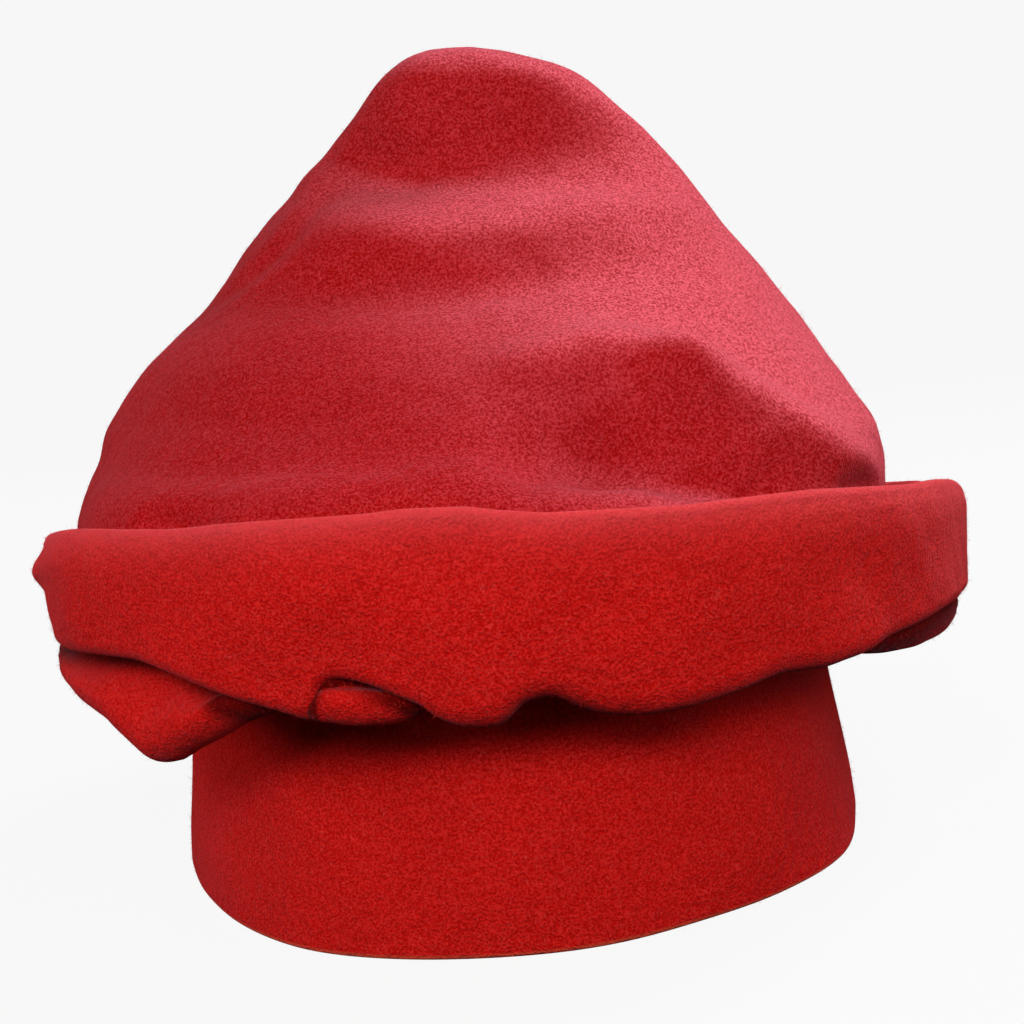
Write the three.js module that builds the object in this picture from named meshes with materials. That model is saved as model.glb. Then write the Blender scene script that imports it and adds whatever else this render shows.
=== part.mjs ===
import * as THREE from "three";

// A tall soft hat of thick wool felt in three sheets: a head band, a baggy peaked crown, and a deep cuff
// turned up over the seam where the other two meet. Millimetres, +Z up, with the rim resting on Z = 0.
// The front faces -Y. Left and right are as seen from the front, so left is -X.

const { clamp, degToRad, lerp, smoothstep } = THREE.MathUtils;

// Head band
const RIM_HALF_WIDTH = 85; // outside of the felt, side to side
const RIM_HALF_DEPTH = 102; // outside of the felt, front to back
const SEAM_HALF_WIDTH = 77.5; // the band is drawn in towards the hidden seam at its top
const SEAM_HALF_DEPTH = 95;
const SEAM_HEIGHT = 60; // above the rim, at the middle of the hat
const BAND_SHIFT = 1.8; // the band stands this far left of the middle of the cuff
const BAND_SKEW = 0.03; // and its front is pushed this share of its distance to the right
const BAND_FELT = 3;

// Crown
const CROWN_HEIGHT = 135; // from the seam up to the tip
const CROWN_HALF_WIDTH = 99.5;
const CROWN_HALF_DEPTH = 114;
const CROWN_FELT = 3;
const CROWN_FOLD = 10; // the depth that the shares of the crown's folds are of

// Cuff
const CUFF_HALF_WIDTH = 115; // outside of the felt
const CUFF_HALF_DEPTH = 128;
const CUFF_RISE = 19.5; // top edge above the seam, at the middle of the hat
const CUFF_DEPTH = 42; // the fall that the shares of the cuff's edges are of
const CUFF_SWAY = 6; // how far the cuff's wall wanders in and out
const CUFF_TURN = 4; // radius of the soft fold along its lower edge, at the middle of the felt
const TUCK_DEPTH = 8; // how far a tuck draws the felt in under its lip
const CUFF_FELT = 3;

// The lap at the seam, where the band is innermost, then the crown's hem, then the cuff's inner leg
const LAP_HEIGHT = 6;
const LAP_GAP = 0.3;
const CUFF_LAP_DROP = 1.5; // the inner leg's edge lies this far below the seam, under the crown's swell

// The upper hat leans: each millimetre towards the front or the left lifts the seam and cuff this much
const LEAN_BACK = 0.138;
const LEAN_RIGHT = 0.05;

const CUFF_FULLNESS = 0.04; // how far the cuff's oval fills out towards the corners of its box
const CROWN_FULLNESS = 0.04;

const FELT_RED = new THREE.Color(0.6, 0.07, 0.06);
const FELT_ROUGHNESS = 0.95;

// Height is a share of the seam's height, and drawn a share of the way from the rim's size to the seam's.
const BAND_SECTIONS = [
  { height: 0, drawn: 0 },
  { height: 0.13, drawn: 0.09 },
  { height: 0.28, drawn: 0.26 },
  { height: 0.5, drawn: 0.51 },
  { height: 0.75, drawn: 0.82 },
  { height: 0.9, drawn: 1 },
  { height: 1, drawn: 1 },
];

// Height is a share of the crown's height above the seam, the reaches are shares of its half width and
// half depth, and lean is the share of the upper hat's lean.
const CROWN_SECTIONS = [
  { height: 0.022, left: 0.92, right: 0.875, front: 0.91, back: 0.885, lean: 1 },
  { height: 0.052, left: 0.99, right: 0.925, front: 0.965, back: 0.925, lean: 1 },
  { height: 0.095, left: 1.03, right: 0.96, front: 0.995, back: 0.945, lean: 1 },
  { height: 0.148, left: 1.035, right: 0.97, front: 0.985, back: 0.945, lean: 1 },
  { height: 0.2, left: 1.02, right: 0.975, front: 0.95, back: 0.94, lean: 0.9 },
  { height: 0.255, left: 0.995, right: 0.965, front: 0.915, back: 0.93, lean: 0.65 },
  { height: 0.31, left: 0.96, right: 0.925, front: 0.875, back: 0.91, lean: 0.35 },
  { height: 0.37, left: 0.94, right: 0.88, front: 0.84, back: 0.885, lean: 0.15 },
  { height: 0.42, left: 0.9, right: 0.84, front: 0.755, back: 0.85, lean: 0 },
  { height: 0.475, left: 0.845, right: 0.79, front: 0.63, back: 0.81, lean: 0 },
  { height: 0.525, left: 0.77, right: 0.745, front: 0.525, back: 0.765, lean: 0 },
  { height: 0.58, left: 0.67, right: 0.7, front: 0.47, back: 0.715, lean: 0 },
  { height: 0.63, left: 0.605, right: 0.65, front: 0.42, back: 0.66, lean: 0 },
  { height: 0.68, left: 0.535, right: 0.6, front: 0.333, back: 0.595, lean: 0 },
  { height: 0.725, left: 0.47, right: 0.55, front: 0.237, back: 0.54, lean: 0 },
  { height: 0.763, left: 0.41, right: 0.515, front: 0.184, back: 0.487, lean: 0 },
  { height: 0.8, left: 0.365, right: 0.475, front: 0.157, back: 0.43, lean: 0 },
  { height: 0.845, left: 0.305, right: 0.43, front: 0.154, back: 0.36, lean: 0 },
  { height: 0.89, left: 0.25, right: 0.385, front: 0.154, back: 0.29, lean: 0 },
  { height: 0.933, left: 0.2, right: 0.325, front: 0.148, back: 0.21, lean: 0 },
  { height: 0.963, left: 0.155, right: 0.24, front: 0.13, back: 0.15, lean: 0 },
  { height: 0.985, left: 0.105, right: 0.145, front: 0.098, back: 0.088, lean: 0 },
  { height: 0.996, left: 0.055, right: 0.065, front: 0.05, back: 0.044, lean: 0 },
];

// Each fold runs along the crown between two places, given by bearing in degrees round from the front
// and height as on the sections. Reach is a share of the crown's half width, and depth a share of
// CROWN_FOLD, with hollows negative.
const CROWN_FOLDS = [
  { fold: "hollow under the arch", bearing: [14, 38], height: [0.35, 0.17], reach: 0.16, depth: -1 },
  { fold: "top of the arch", bearing: [8, 30], height: [0.51, 0.46], reach: 0.12, depth: 0.4 },
  { fold: "side of the arch", bearing: [34, 58], height: [0.42, 0.2], reach: 0.12, depth: 0.55 },
  { fold: "middle hollow", bearing: [-26, 14], height: [0.66, 0.58], reach: 0.12, depth: -0.3 },
  { fold: "right valley", bearing: [42, 76], height: [0.59, 0.3], reach: 0.12, depth: -0.25 },
  { fold: "left crease", bearing: [-44, -72], height: [0.75, 0.6], reach: 0.1, depth: -0.25 },
  { fold: "left flank", bearing: [-62, -14], height: [0.45, 0.46], reach: 0.16, depth: -0.3 },
  { fold: "left swell", bearing: [-56, -28], height: [0.24, 0.37], reach: 0.14, depth: 0.3 },
  { fold: "left pocket", bearing: [-50, -40], height: [0.12, 0.12], reach: 0.11, depth: -0.35 },
  { fold: "right pocket", bearing: [52, 62], height: [0.13, 0.13], reach: 0.11, depth: -0.4 },
  { fold: "back left hollow", bearing: [-150, -128], height: [0.52, 0.3], reach: 0.17, depth: -0.5 },
  { fold: "back ridge", bearing: [168, 150], height: [0.7, 0.28], reach: 0.13, depth: 0.35 },
  { fold: "back right hollow", bearing: [128, 116], height: [0.5, 0.25], reach: 0.15, depth: -0.45 },
];

// Bearing is in degrees round from the front. Top lifts the free edge and bottom drops the folded edge,
// both as shares of CUFF_DEPTH. Tip leans the free edge inwards and waist draws the middle of the wall in,
// both as shares of CUFF_SWAY.
const CUFF_EDGES = [
  { bearing: -180, top: 0, bottom: 0.81, tip: 0.2, waist: 0 },
  { bearing: -150, top: 0.01, bottom: 0.88, tip: 0.3, waist: 0 },
  { bearing: -120, top: -0.02, bottom: 0.78, tip: 0.5, waist: 0.1 },
  { bearing: -98, top: -0.06, bottom: 0.71, tip: 0.9, waist: 0.5 },
  { bearing: -84, top: -0.08, bottom: 0.71, tip: 1, waist: 0.7 },
  { bearing: -75, top: -0.07, bottom: 0.79, tip: 0.9, waist: 0.6 },
  { bearing: -66, top: -0.03, bottom: 0.89, tip: 0.6, waist: 0.3 },
  { bearing: -58.5, top: 0, bottom: 0.97, tip: 0.4, waist: 0.1 },
  { bearing: -54, top: 0.01, bottom: 1.03, tip: 0.35, waist: 0 },
  { bearing: -50, top: 0.015, bottom: 1.17, tip: 0.3, waist: 0 },
  { bearing: -46, top: 0.015, bottom: 1.22, tip: 0.25, waist: 0 },
  { bearing: -40.5, top: 0, bottom: 1.15, tip: 0.2, waist: 0 },
  { bearing: -33.3, top: -0.01, bottom: 1, tip: 0.2, waist: 0 },
  { bearing: -27, top: 0, bottom: 0.935, tip: 0.2, waist: 0 },
  { bearing: -23.5, top: 0.005, bottom: 0.94, tip: 0.2, waist: 0 },
  { bearing: -20.4, top: 0.005, bottom: 0.98, tip: 0.2, waist: 0 },
  { bearing: -15.6, top: 0.01, bottom: 1, tip: 0.2, waist: 0 },
  { bearing: -12, top: 0.015, bottom: 0.995, tip: 0.2, waist: 0 },
  { bearing: -9.1, top: 0.02, bottom: 0.915, tip: 0.2, waist: 0 },
  { bearing: -7.1, top: 0.02, bottom: 0.995, tip: 0.2, waist: 0 },
  { bearing: -3.2, top: 0.01, bottom: 1.03, tip: 0.2, waist: 0 },
  { bearing: -0.8, top: 0, bottom: 1, tip: 0.2, waist: 0 },
  { bearing: 1.1, top: -0.01, bottom: 0.92, tip: 0.2, waist: 0 },
  { bearing: 3.9, top: -0.02, bottom: 0.9, tip: 0.2, waist: 0 },
  { bearing: 6.5, top: -0.03, bottom: 0.95, tip: 0.2, waist: 0 },
  { bearing: 10.5, top: -0.03, bottom: 1.01, tip: 0.2, waist: 0 },
  { bearing: 17, top: -0.03, bottom: 1.01, tip: 0.2, waist: 0 },
  { bearing: 25, top: -0.01, bottom: 0.945, tip: 0.2, waist: 0 },
  { bearing: 30.4, top: 0, bottom: 0.875, tip: 0.2, waist: 0 },
  { bearing: 35.3, top: 0.01, bottom: 0.885, tip: 0.2, waist: 0 },
  { bearing: 41, top: 0.01, bottom: 0.815, tip: 0.2, waist: 0 },
  { bearing: 47, top: 0.01, bottom: 0.845, tip: 0.2, waist: 0 },
  { bearing: 57, top: 0.02, bottom: 0.855, tip: 0.2, waist: 0 },
  { bearing: 68, top: 0.02, bottom: 0.83, tip: 0.2, waist: 0 },
  { bearing: 78, top: 0.02, bottom: 0.76, tip: 0.2, waist: 0 },
  { bearing: 92, top: 0, bottom: 0.71, tip: 0.25, waist: 0 },
  { bearing: 115, top: -0.02, bottom: 0.8, tip: 0.4, waist: 0.1 },
  { bearing: 140, top: 0.01, bottom: 0.92, tip: 0.3, waist: 0 },
  { bearing: 162, top: 0, bottom: 0.84, tip: 0.2, waist: 0 },
  { bearing: 180, top: 0, bottom: 0.81, tip: 0.2, waist: 0 },
];

// How far the wall stands out, as a share of CUFF_SWAY, at a share of the way down from its free edge
const CUFF_WALL = [
  { down: 0, out: -0.1 },
  { down: 0.12, out: 0 },
  { down: 0.4, out: 0 },
  { down: 0.75, out: -0.1 },
  { down: 1, out: -0.25 },
];

// The tucks: along each lip the felt above overhangs the felt below. Down is the lip's place below the
// nominal top edge, as a share of CUFF_DEPTH, and bite a share of TUCK_DEPTH.
const TUCKS = {
  left: [
    { bearing: -72, down: 0.62, bite: 0 },
    { bearing: -60, down: 0.63, bite: 0.35 },
    { bearing: -52, down: 0.655, bite: 0.75 },
    { bearing: -42, down: 0.665, bite: 1 },
    { bearing: -32, down: 0.795, bite: 1 },
    { bearing: -26, down: 0.865, bite: 0.9 },
    { bearing: -22.5, down: 0.91, bite: 0 },
  ],
  middle: [
    { bearing: -21, down: 0.77, bite: 0 },
    { bearing: -17.5, down: 0.755, bite: 0.35 },
    { bearing: -12, down: 0.81, bite: 0.75 },
    { bearing: -8.8, down: 0.885, bite: 0.6 },
    { bearing: -7, down: 0.92, bite: 0 },
  ],
  right: [
    { bearing: 39, down: 0.785, bite: 0 },
    { bearing: 42, down: 0.77, bite: 0.5 },
    { bearing: 48.5, down: 0.715, bite: 0.7 },
    { bearing: 57, down: 0.68, bite: 0.65 },
    { bearing: 70, down: 0.66, bite: 0.4 },
    { bearing: 86, down: 0.62, bite: 0 },
  ],
};
const TUCK_SOFTNESS = 0.09; // height of the step under a lip, as a share of CUFF_DEPTH

// The slope of a column at one row. A crest or trough is level, so that no curve swings past its rows.
function slopeAt(rows, key, column, i) {
  const rise = (j) => (rows[j + 1][column] - rows[j][column]) / (rows[j + 1][key] - rows[j][key]);
  if (i === 0) return rise(0);
  if (i === rows.length - 1) return rise(i - 1);
  const [before, after] = [rise(i - 1), rise(i)];
  return before * after <= 0 ? 0 : (2 * before * after) / (before + after);
}

// Reads a column of a table between its rows, as a smooth curve through them.
function read(rows, key, at, column) {
  const next = rows.findIndex((row) => row[key] >= at);
  const i = next < 0 ? rows.length - 1 : Math.max(next, 1);
  const span = rows[i][key] - rows[i - 1][key];
  const t = clamp((at - rows[i - 1][key]) / span, 0, 1);
  const [from, to] = [rows[i - 1][column], rows[i][column]];
  const [out, into] = [i - 1, i].map((j) => slopeAt(rows, key, column, j) * span);
  const blend = t * t * (3 - 2 * t);
  return lerp(from, to, blend) + out * t * (1 - t) ** 2 - into * t * t * (1 - t);
}

// The lift of the leaning upper hat over a place in plan.
function lean(x, y) {
  return -LEAN_BACK * y - LEAN_RIGHT * x;
}

// A point in plan on an oval that may reach a different way to each of its four sides.
function oval(bearing, { left, right, front, back }, fullness = 0) {
  const [across, along] = [Math.sin(bearing), Math.cos(bearing)];
  return new THREE.Vector2(
    (across < 0 ? left : right) * across * (1 + fullness * along ** 2),
    -(along < 0 ? back : front) * along * (1 + fullness * across ** 2),
  );
}

// An oval of the band, shifted and skewed as the band stands, and grown outwards by an outset.
function bandOval(bearing, halfWidth, halfDepth, outset) {
  const plain = oval(bearing, {
    left: halfWidth + BAND_SHIFT + outset,
    right: halfWidth - BAND_SHIFT + outset,
    front: halfDepth + outset,
    back: halfDepth + outset,
  });
  return plain.setX(plain.x - BAND_SKEW * plain.y);
}

// A point of the lap, above or below the seam and outside the band's felt.
function seamPoint(bearing, rise, outset) {
  const { x, y } = bandOval(bearing, SEAM_HALF_WIDTH, SEAM_HALF_DEPTH, outset);
  return new THREE.Vector3(x, y, SEAM_HEIGHT + rise + lean(x, y));
}

function bandPoint(bearing, height, outset) {
  const drawn = read(BAND_SECTIONS, "height", height, "drawn");
  const halfWidth = lerp(RIM_HALF_WIDTH, SEAM_HALF_WIDTH, drawn);
  const halfDepth = lerp(RIM_HALF_DEPTH, SEAM_HALF_DEPTH, drawn);
  const { x, y } = bandOval(bearing, halfWidth, halfDepth, outset);
  return new THREE.Vector3(x, y, height * (SEAM_HEIGHT + lean(x, y)));
}

// The outward normal of a surface given as a function of bearing and a second place.
function normalOf(surface, bearing, place, low, high, step) {
  const turn = 0.01;
  const round = surface(bearing + turn, place).sub(surface(bearing - turn, place));
  const [below, above] = [Math.max(place - step, low), Math.min(place + step, high)];
  const up = surface(bearing, above).sub(surface(bearing, below));
  return round.cross(up).normalize();
}

function plainCrown(bearing, height) {
  const column = (name) => read(CROWN_SECTIONS, "height", height, name);
  const reach = {
    left: CROWN_HALF_WIDTH * column("left"),
    right: CROWN_HALF_WIDTH * column("right"),
    front: CROWN_HALF_DEPTH * column("front"),
    back: CROWN_HALF_DEPTH * column("back"),
  };
  const { x, y } = oval(bearing, reach, CROWN_FULLNESS);
  return new THREE.Vector3(x, y, SEAM_HEIGHT + height * CROWN_HEIGHT + column("lean") * lean(x, y));
}

// How far the folds push the crown out at a place, each fading with the distance to its line.
function crownFolds(bearing, height) {
  const flat = (b, h) => new THREE.Vector3(b * CROWN_HALF_WIDTH, h * CROWN_HEIGHT, 0);
  const turn = (b) => b - 2 * Math.PI * Math.round(b / (2 * Math.PI));
  const nearest = new THREE.Vector3();
  return CROWN_FOLDS.reduce((sum, fold) => {
    const [from, to] = [0, 1].map((end) => flat(degToRad(fold.bearing[end]), fold.height[end]));
    const middle = degToRad((fold.bearing[0] + fold.bearing[1]) / 2);
    const here = flat(middle + turn(bearing - middle), height);
    new THREE.Line3(from, to).closestPointToPoint(here, true, nearest);
    const away = here.distanceTo(nearest) / (fold.reach * CROWN_HALF_WIDTH);
    return sum + fold.depth * CROWN_FOLD * Math.exp(-away * away);
  }, 0);
}

const CROWN_LOW = CROWN_SECTIONS[0].height;
const CROWN_TOP = CROWN_SECTIONS[CROWN_SECTIONS.length - 1].height;

function crownPoint(bearing, height) {
  const out = normalOf(plainCrown, bearing, height, CROWN_LOW, CROWN_TOP, 0.01);
  return plainCrown(bearing, height).addScaledVector(out, crownFolds(bearing, height));
}

// The inside of the crown, one thickness of felt in from its outside.
function crownLining(bearing, height) {
  const out = normalOf(crownPoint, bearing, height, CROWN_LOW, CROWN_TOP, 0.015);
  return crownPoint(bearing, height).addScaledVector(out, -CROWN_FELT);
}

// How far the tucks draw the cuff in, at a share of CUFF_DEPTH below its nominal top edge.
function tuckedIn(degrees, down) {
  return Object.values(TUCKS).reduce((sum, lip) => {
    if (degrees < lip[0].bearing || degrees > lip[lip.length - 1].bearing) return sum;
    const line = read(lip, "bearing", degrees, "down");
    const bite = read(lip, "bearing", degrees, "bite");
    return sum + TUCK_DEPTH * bite * smoothstep(down, line, line + TUCK_SOFTNESS);
  }, 0);
}

// The middle of the cuff's felt at one bearing, as outward distance and height, followed from its free
// edge down the wall (0 to 1), round the soft fold (1 to 2), and up the hidden inner leg (2 to 3).
function cuffSpine(degrees, along, inwards) {
  const edge = (name) => read(CUFF_EDGES, "bearing", degrees, name);
  const topEdge = SEAM_HEIGHT + CUFF_RISE;
  const free = topEdge + CUFF_DEPTH * edge("top") - CUFF_FELT / 2;
  const foldMiddle = topEdge - CUFF_DEPTH * edge("bottom") + CUFF_FELT / 2 + CUFF_TURN;
  const wall = (down) => {
    const height = lerp(free, foldMiddle, down);
    const tipIn = edge("tip") * (1 - smoothstep(down, 0, 0.3));
    const waistIn = edge("waist") * smoothstep(down, 0.15, 0.55);
    const sway = CUFF_SWAY * (read(CUFF_WALL, "down", down, "out") - tipIn - waistIn);
    return [sway - tuckedIn(degrees, (topEdge - height) / CUFF_DEPTH), height];
  };
  if (along <= 1) return wall(along);
  const [foldOut] = wall(1);
  if (along <= 2) {
    const turned = ((along - 1) * Math.PI) / 2;
    return [foldOut - CUFF_TURN * (1 - Math.cos(turned)), foldMiddle - CUFF_TURN * Math.sin(turned)];
  }
  const start = new THREE.Vector3(foldOut - CUFF_TURN, foldMiddle - CUFF_TURN, 0);
  const end = new THREE.Vector3(-inwards, SEAM_HEIGHT - LAP_HEIGHT, 0);
  const reach = (start.x - end.x) / 2;
  const leg = new THREE.CubicBezierCurve3(
    start,
    new THREE.Vector3(start.x - reach, start.y, 0),
    new THREE.Vector3(end.x, Math.min(end.y - CUFF_TURN, lerp(start.y, end.y, 0.5)), 0),
    end,
  );
  const { x, y } = leg.getPoint(along - 2);
  return [x, y];
}

// A point on either face of the cuff's felt, half a thickness out of or into the turn from its middle.
function cuffPoint(bearing, along, offset) {
  const degrees = (bearing * 180) / Math.PI;
  const [halfWidth, halfDepth] = [CUFF_HALF_WIDTH, CUFF_HALF_DEPTH].map((outside) => outside - CUFF_FELT / 2);
  const reach = { left: halfWidth, right: halfWidth, front: halfDepth, back: halfDepth };
  const middle = oval(bearing, reach, CUFF_FULLNESS);
  const lap = 2 * LAP_GAP + CROWN_FELT + CUFF_FELT / 2;
  const outwards = middle.clone().sub(bandOval(bearing, SEAM_HALF_WIDTH, SEAM_HALF_DEPTH, lap));
  const inwards = outwards.length();
  outwards.normalize();
  const [out, height] = cuffSpine(degrees, along, inwards);
  const [outNext, heightNext] = cuffSpine(degrees, Math.min(along + 0.01, 3), inwards);
  const [outLast, heightLast] = cuffSpine(degrees, Math.max(along - 0.01, 0), inwards);
  const facing = new THREE.Vector2(heightLast - heightNext, outNext - outLast).normalize();
  const plan = middle.addScaledVector(outwards, out + facing.x * offset);
  return new THREE.Vector3(plan.x, plan.y, height + facing.y * offset + lean(plan.x, plan.y));
}

// Bearings all the way round from the back, closer together over the front half where the folds are.
function bearings(frontCount, backCount) {
  const evenly = (count, from, to) => Array.from({ length: count }, (_, i) => lerp(from, to, i / count));
  return [
    ...evenly(backCount / 2, -180, -90),
    ...evenly(frontCount, -90, 90),
    ...evenly(backCount / 2, 90, 180),
  ].map(degToRad);
}

// The skin of one closed sheet through rings of points. With two tips it closes over a point at each
// end, and with none its last ring joins its first.
function skin(rings, tips = []) {
  const round = rings[0].length;
  const triangles = [];
  const last = tips.length ? rings.length - 1 : rings.length;
  for (let i = 0; i < last; i += 1) {
    const [near, far] = [i * round, ((i + 1) % rings.length) * round];
    for (let j = 0; j < round; j += 1) {
      const k = (j + 1) % round;
      triangles.push(near + j, near + k, far + k, near + j, far + k, far + j);
    }
  }
  const [firstTip, lastTip] = [rings.length * round, rings.length * round + 1];
  for (let j = 0; tips.length && j < round; j += 1) {
    const k = (j + 1) % round;
    triangles.push(firstTip, k, j);
    triangles.push(lastTip, (rings.length - 1) * round + j, (rings.length - 1) * round + k);
  }
  const geometry = new THREE.BufferGeometry().setFromPoints([...rings.flat(), ...tips]);
  geometry.setIndex(triangles);
  geometry.computeVertexNormals();
  return geometry;
}

function bandGeometry() {
  const around = bearings(28, 20);
  const ring = (height, outset) => around.map((bearing) => bandPoint(bearing, height, outset));
  const heights = BAND_SECTIONS.map((section) => section.height);
  const inner = heights.filter((_, i) => i % 2 === 0).reverse();
  return skin([
    ...heights.map((height) => ring(height, 0)),
    ...inner.map((height) => ring(height, -BAND_FELT)),
  ]);
}

function crownGeometry() {
  const around = bearings(42, 20);
  const heights = CROWN_SECTIONS.map((section) => section.height);
  const hem = (outset) => [
    around.map((bearing) => seamPoint(bearing, -LAP_HEIGHT, outset)),
    around.map((bearing) => seamPoint(bearing, 0, outset)),
  ];
  const outer = heights.map((height) => around.map((bearing) => crownPoint(bearing, height)));
  const inner = heights
    .filter((_, i) => i % 2 === 0)
    .map((height) => around.map((bearing) => crownLining(bearing, height)));
  const tip = new THREE.Vector3(0, 0, SEAM_HEIGHT + CROWN_HEIGHT);
  return skin(
    [...inner.reverse(), ...hem(LAP_GAP).reverse(), ...hem(LAP_GAP + CROWN_FELT), ...outer],
    [tip.clone().setZ(tip.z - CROWN_FELT), tip],
  );
}

function cuffGeometry() {
  const around = bearings(72, 28);
  const ring = (along, offset) => around.map((bearing) => cuffPoint(bearing, along, offset));
  const half = CUFF_FELT / 2;
  const outer = [0, 0.1, 0.22, 0.38, 0.52, 0.64, 0.75, 0.86, 1, 1.35, 1.7, 2, 2.3, 2.6, 2.85, 3];
  const inner = [0, 0.22, 0.52, 0.75, 1, 1.5, 2, 2.5, 3];
  const leg = around.map((bearing) => {
    const rise = -CUFF_LAP_DROP;
    const outset = 2 * LAP_GAP + CROWN_FELT;
    return { face: seamPoint(bearing, rise, outset + CUFF_FELT), lap: seamPoint(bearing, rise, outset) };
  });
  const crest = around.map((bearing) => {
    const [face, back] = [cuffPoint(bearing, 0, half), cuffPoint(bearing, 0, -half)];
    return face.lerp(back, 0.5).add(new THREE.Vector3(0, 0, half));
  });
  return skin([
    crest,
    ...inner.map((along) => ring(along, -half)),
    leg.map((end) => end.face),
    leg.map((end) => end.lap),
    ...outer.reverse().map((along) => ring(along, half)),
  ]);
}

const felt = () =>
  new THREE.MeshStandardMaterial({ color: FELT_RED, roughness: FELT_ROUGHNESS, metalness: 0 });

const hat = new THREE.Group();
for (const [name, geometry] of [
  ["head_band", bandGeometry()],
  ["crown", crownGeometry()],
  ["turned_cuff", cuffGeometry()],
]) {
  const mesh = new THREE.Mesh(geometry, felt());
  mesh.name = name;
  hat.add(mesh);
}

// The hat stands with the middle of its footprint on the origin.
const footprint = new THREE.Box3().setFromObject(hat).getCenter(new THREE.Vector3());
hat.position.set(-footprint.x, -footprint.y, 0);

export default hat;
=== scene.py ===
"""Looks of a tall soft felt hat: a smooth head band, a baggy peaked crown and a deep turned-up cuff.

Every piece is one thick sheet of red wool felt. Lengths in the tables are millimetres or shares of the
named sizes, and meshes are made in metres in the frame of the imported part.
"""

import logging
import math
from dataclasses import dataclass, field
from enum import Enum
from typing import Callable

import bpy
import numpy as np
from mathutils import Euler, Matrix, Vector


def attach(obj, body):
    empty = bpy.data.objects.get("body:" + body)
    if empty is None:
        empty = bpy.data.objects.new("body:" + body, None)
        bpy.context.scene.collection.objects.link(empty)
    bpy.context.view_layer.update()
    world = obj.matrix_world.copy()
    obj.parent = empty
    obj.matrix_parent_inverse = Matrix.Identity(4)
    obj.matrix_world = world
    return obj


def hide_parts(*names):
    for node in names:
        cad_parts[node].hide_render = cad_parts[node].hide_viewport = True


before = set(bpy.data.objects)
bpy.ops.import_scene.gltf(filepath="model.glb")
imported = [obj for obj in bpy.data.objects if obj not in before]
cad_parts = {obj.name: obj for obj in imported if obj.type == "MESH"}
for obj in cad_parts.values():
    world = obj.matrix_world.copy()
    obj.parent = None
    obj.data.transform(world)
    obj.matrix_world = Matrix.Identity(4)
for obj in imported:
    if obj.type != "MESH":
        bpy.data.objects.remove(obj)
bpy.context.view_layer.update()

log = logging.getLogger("felt_hat")

Surface = Callable[[np.ndarray, np.ndarray], np.ndarray]
Pair = tuple[np.ndarray, np.ndarray]
Socket = bpy.types.NodeSocket

MM = 0.001
SHIFT_X = -0.82  # the hat is drawn about the middle of its cuff, and stands this far left in the frame

# A painted pink highlight lies where the felt faces the first way below, roughly towards the top lamp, rising
# between the two facing shares. It fades out low down at the left, where height plus distance right is below
# the first metre value of the fade, and the least share leaves a little of it everywhere.
PAINTED_HIGHLIGHT_WAY = (0.5, 0.15, 0.85)
PAINTED_HIGHLIGHT_FACING = (0.08, 0.84)
PAINTED_HIGHLIGHT_FADE_WAY = (1.0, 0.0, 1.0)
PAINTED_HIGHLIGHT_FADE = (0.085, 0.175)
PAINTED_HIGHLIGHT_LEAST = 0.05

# The head band and the lap where the three sheets meet
RIM_HALF = (85.0, 102.0)
SEAM_HALF = (77.5, 95.0)
SEAM_HEIGHT = 60.0
BAND_SHIFT, BAND_SKEW = 1.8, 0.03
LAP_HEIGHT, LAP_GAP, CUFF_LAP_DROP = 6.0, 0.3, 1.5
FELT = 3.0
BEARING_STEP = 0.01
LEAN_BACK, LEAN_RIGHT = 0.138, 0.05

# Height is a share of the seam's height, drawn a share of the way from the rim's size to the seam's.
BAND_SECTIONS = np.array(
    [(0, 0), (0.13, 0.09), (0.28, 0.26), (0.5, 0.51), (0.75, 0.82), (0.9, 1), (1, 1)]
)

CROWN_HEIGHT = 135.0
CROWN_HALF = (99.5, 114.0)
CROWN_FULLNESS = 0.04

# Height share, then the reaches to the left, right, front and back as shares of the half sizes, then lean.
CROWN_SECTIONS = np.array(
    [
        (0.022, 0.92, 0.875, 0.91, 0.885, 1),
        (0.052, 0.99, 0.925, 0.97, 0.925, 1),
        (0.095, 1.03, 0.96, 0.995, 0.945, 1),
        (0.148, 1.035, 0.97, 0.978, 0.945, 1),
        (0.2, 1.02, 0.975, 0.945, 0.94, 0.9),
        (0.255, 0.995, 0.965, 0.905, 0.93, 0.65),
        (0.31, 0.96, 0.925, 0.858, 0.91, 0.35),
        (0.37, 0.94, 0.88, 0.798, 0.885, 0.15),
        (0.42, 0.9, 0.84, 0.735, 0.85, 0),
        (0.475, 0.845, 0.79, 0.65, 0.81, 0),
        (0.525, 0.77, 0.745, 0.555, 0.765, 0),
        (0.58, 0.67, 0.7, 0.452, 0.715, 0),
        (0.63, 0.605, 0.65, 0.408, 0.66, 0),
        (0.68, 0.545, 0.61, 0.362, 0.595, 0),
        (0.725, 0.486, 0.568, 0.255, 0.54, 0),
        (0.763, 0.428, 0.533, 0.188, 0.487, 0),
        (0.8, 0.383, 0.49, 0.163, 0.43, 0),
        (0.845, 0.322, 0.438, 0.156, 0.36, 0),
        (0.89, 0.262, 0.38, 0.15, 0.29, 0),
        (0.933, 0.207, 0.312, 0.148, 0.21, 0),
        (0.963, 0.16, 0.225, 0.13, 0.15, 0),
        (0.985, 0.108, 0.13, 0.098, 0.088, 0),
        (0.996, 0.055, 0.065, 0.05, 0.044, 0),
    ]
)

CUFF_HALF = (115.0, 128.0)
CUFF_RISE, CUFF_DEPTH, CUFF_SWAY, CUFF_TURN = 19.5, 42.0, 6.0, 4.0
CUFF_FULLNESS = 0.04

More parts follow.
